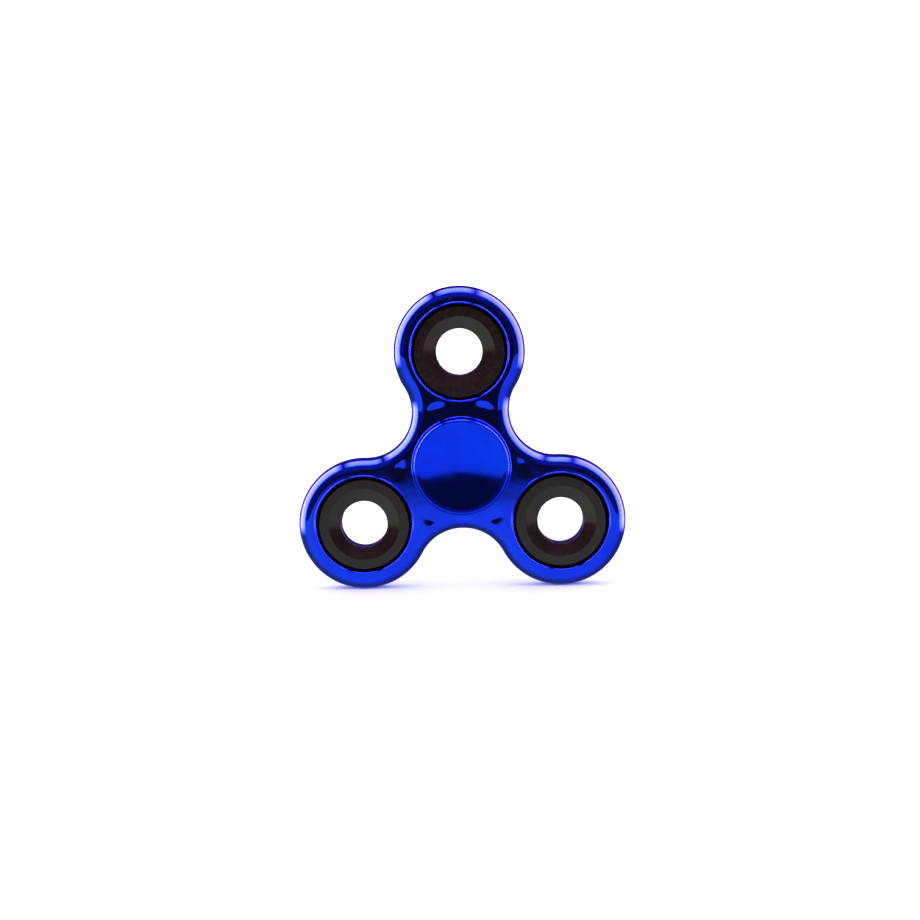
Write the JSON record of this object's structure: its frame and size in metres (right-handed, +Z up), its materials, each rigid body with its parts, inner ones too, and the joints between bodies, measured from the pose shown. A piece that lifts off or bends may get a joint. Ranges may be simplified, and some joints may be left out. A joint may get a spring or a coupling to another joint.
{
  "type": "fidget spinner",
  "caption": "Three-lobed fidget spinner: a chrome-blue body with black weight rings turns on a ball bearing between two dished finger caps.",
  "frame": {"origin": "centre of the ball bearing, halfway through the spinner's thickness", "axes": "+Y along the spin axis, towards the back; the front faces -Y; +Z up through the third lobe, as the spinner stands on the other two; +X to the right seen from the front"},
  "size_m": [0.075, 0.0128, 0.069],
  "materials": {
    "blue_plating": "mirror chrome plating on moulded plastic, tinted blue",
    "black_coated_steel": "black semi-gloss coating",
    "ground_steel": "ground",
    "pressed_steel": "satin",
    "spring_steel": "satin",
    "polished_ball_steel": "polished"
  },
  "bodies": {
    "hub": {"cap_front": "blue_plating", "cap_back": "blue_plating", "bearing_inner_ring": "ground_steel"},
    "rotor": {"spinner_body": "blue_plating", "weight_top": "black_coated_steel", "weight_left": "black_coated_steel", "weight_right": "black_coated_steel", "bearing_outer_ring": "ground_steel", "shield_front": "pressed_steel", "shield_back": "pressed_steel", "snap_ring_front": "spring_steel", "snap_ring_back": "spring_steel"},
    "cage": {"cage_front": "pressed_steel", "cage_back": "pressed_steel", "cage_rivets": "pressed_steel"},
    "ball_1": {"ball_1": "polished_ball_steel"},
    "ball_2": {"ball_2": "polished_ball_steel"},
    "ball_3": {"ball_3": "polished_ball_steel"},
    "ball_4": {"ball_4": "polished_ball_steel"},
    "ball_5": {"ball_5": "polished_ball_steel"},
    "ball_6": {"ball_6": "polished_ball_steel"},
    "ball_7": {"ball_7": "polished_ball_steel"}
  },
  "joints": [
    {"name": "spin", "type": "hinge", "parent": "hub", "child": "rotor", "pos_m": [0, 0, 0], "axis": [0, 1, 0], "continuous": true},
    {"name": "cage_orbit", "type": "hinge", "parent": "hub", "child": "cage", "pos_m": [0, 0, 0], "axis": [0, 1, 0], "continuous": true},
    {"name": "ball_1_roll", "type": "hinge", "parent": "cage", "child": "ball_1", "pos_m": [0, 0, 0.0075], "axis": [0, 1, 0], "continuous": true},
    {"name": "ball_2_roll", "type": "hinge", "parent": "cage", "child": "ball_2", "pos_m": [-0.00586, 0, 0.00468], "axis": [0, 1, 0], "continuous": true},
    {"name": "ball_3_roll", "type": "hinge", "parent": "cage", "child": "ball_3", "pos_m": [-0.00731, 0, -0.00167], "axis": [0, 1, 0], "continuous": true},
    {"name": "ball_4_roll", "type": "hinge", "parent": "cage", "child": "ball_4", "pos_m": [-0.00325, 0, -0.00676], "axis": [0, 1, 0], "continuous": true},
    {"name": "ball_5_roll", "type": "hinge", "parent": "cage", "child": "ball_5", "pos_m": [0.00325, 0, -0.00676], "axis": [0, 1, 0], "continuous": true},
    {"name": "ball_6_roll", "type": "hinge", "parent": "cage", "child": "ball_6", "pos_m": [0.00731, 0, -0.00167], "axis": [0, 1, 0], "continuous": true},
    {"name": "ball_7_roll", "type": "hinge", "parent": "cage", "child": "ball_7", "pos_m": [0.00586, 0, 0.00468], "axis": [0, 1, 0], "continuous": true}
  ],
  "couplings": [
    {"joint": "cage_orbit", "follows": "spin", "ratio": 0.6323},
    {"joint": "ball_1_roll", "follows": "spin", "ratio": 1.7573},
    {"joint": "ball_2_roll", "follows": "spin", "ratio": 1.7573},
    {"joint": "ball_3_roll", "follows": "spin", "ratio": 1.7573},
    {"joint": "ball_4_roll", "follows": "spin", "ratio": 1.7573},
    {"joint": "ball_5_roll", "follows": "spin", "ratio": 1.7573},
    {"joint": "ball_6_roll", "follows": "spin", "ratio": 1.7573},
    {"joint": "ball_7_roll", "follows": "spin", "ratio": 1.7573}
  ]
}
